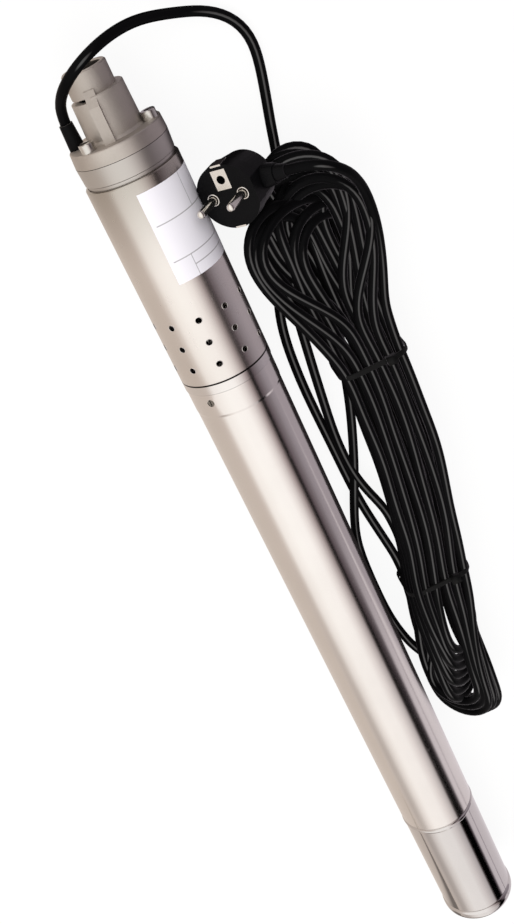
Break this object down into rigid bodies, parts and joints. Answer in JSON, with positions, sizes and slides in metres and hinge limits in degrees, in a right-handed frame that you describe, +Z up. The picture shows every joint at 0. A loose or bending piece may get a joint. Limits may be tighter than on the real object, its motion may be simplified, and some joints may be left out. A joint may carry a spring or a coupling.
{
  "type": "borehole submersible pump",
  "caption": "Slim stainless screw pump for a borehole, lying on its side, with a threaded outlet, an inlet strainer, a long motor tube and its power cord tied in a hank with a plug.",
  "frame": {"origin": "bottom centre of the pump's box, on the surface that the pump lies on", "axes": "+X along the pump's axis from the outlet to the foot, +Y towards the hank, +Z up"},
  "size_m": [0.698, 0.1437, 0.0699],
  "materials": {
    "cast_steel": "cast and blasted stainless steel",
    "brushed_shell": "satin brushed stainless steel",
    "polished_shell": "polished stainless steel",
    "bolt_steel": "bright stainless fasteners",
    "bearing_steel": "ground bearing steel",
    "core_iron": "varnished electrical steel",
    "copper": "enamelled copper wire",
    "brass": "plain brass",
    "seal_rubber": "nitrile rubber",
    "stator_rubber": "moulded nitrile rubber",
    "seal_ceramic": "lapped ceramic",
    "seal_carbon": "lapped carbon",
    "capacitor_case": "moulded plastic case",
    "cord_rubber": "black rubber sheath",
    "tie_plastic": "black plastic",
    "plug_plastic": "moulded black plastic",
    "plug_metal": "nickel-plated brass"
  },
  "bodies": {
    "housing": {"discharge_head": "cast_steel", "head_bolts": "bolt_steel", "head_o_ring": "seal_rubber", "cable_grommet": "seal_rubber", "pump_top_ring": "cast_steel", "pump_shell": "brushed_shell", "stator_sleeve": "brushed_shell", "stator_rubber": "stator_rubber", "lead_inside": "cord_rubber", "lead_gland": "seal_rubber", "upper_bracket": "cast_steel", "seal_seat": "seal_ceramic", "lip_seal": "seal_rubber", "upper_bearing_outer": "bearing_steel", "bracket_o_ring": "seal_rubber", "lock_screws": "bolt_steel", "motor_tube": "brushed_shell", "stator_core": "core_iron", "windings": "copper", "lower_bearing_outer": "bearing_steel", "lower_bracket": "cast_steel", "joint_ring": "cast_steel", "canister": "polished_shell", "capacitor": "capacitor_case", "capacitor_tabs": "brass", "bottom_o_ring": "seal_rubber", "bottom_cap": "polished_shell", "fill_plug": "brass", "cord_lead": "cord_rubber", "cable_hank": "cord_rubber", "hank_ties": "tie_plastic", "cord_tail": "cord_rubber", "plug_body": "plug_plastic", "plug_pins": "plug_metal", "plug_earth_socket": "plug_metal", "plug_earth_clips": "plug_metal"},
    "motor_rotor": {"motor_shaft": "bearing_steel", "rotor_core": "core_iron", "upper_bearing_inner": "bearing_steel", "lower_bearing_inner": "bearing_steel", "seal_face": "seal_carbon", "seal_spring": "bearing_steel", "shaft_coupling": "bolt_steel"},
    "upper_ball_set": {"upper_bearing_balls": "bearing_steel"},
    "lower_ball_set": {"lower_bearing_balls": "bearing_steel"},
    "screw_orbit": {"flex_shaft": "bearing_steel"},
    "screw": {"screw_rotor": "polished_shell"}
  },
  "joints": [
    {"name": "motor_spin", "type": "hinge", "parent": "housing", "child": "motor_rotor", "pos_m": [0, 0, 0.0277], "axis": [1, 0, 0], "continuous": true},
    {"name": "upper_balls_roll", "type": "hinge", "parent": "housing", "child": "upper_ball_set", "pos_m": [0, 0, 0.0277], "axis": [1, 0, 0], "continuous": true},
    {"name": "lower_balls_roll", "type": "hinge", "parent": "housing", "child": "lower_ball_set", "pos_m": [0, 0, 0.0277], "axis": [1, 0, 0], "continuous": true},
    {"name": "orbit_turn", "type": "hinge", "parent": "housing", "child": "screw_orbit", "pos_m": [0, 0, 0.0277], "axis": [1, 0, 0], "continuous": true},
    {"name": "screw_spin", "type": "hinge", "parent": "screw_orbit", "child": "screw", "pos_m": [0, 0, 0.0257], "axis": [1, 0, 0], "continuous": true}
  ],
  "couplings": [
    {"joint": "upper_balls_roll", "follows": "motor_spin", "ratio": 0.38},
    {"joint": "lower_balls_roll", "follows": "motor_spin", "ratio": 0.38},
    {"joint": "orbit_turn", "follows": "motor_spin", "ratio": -1},
    {"joint": "screw_spin", "follows": "motor_spin", "ratio": 2}
  ]
}
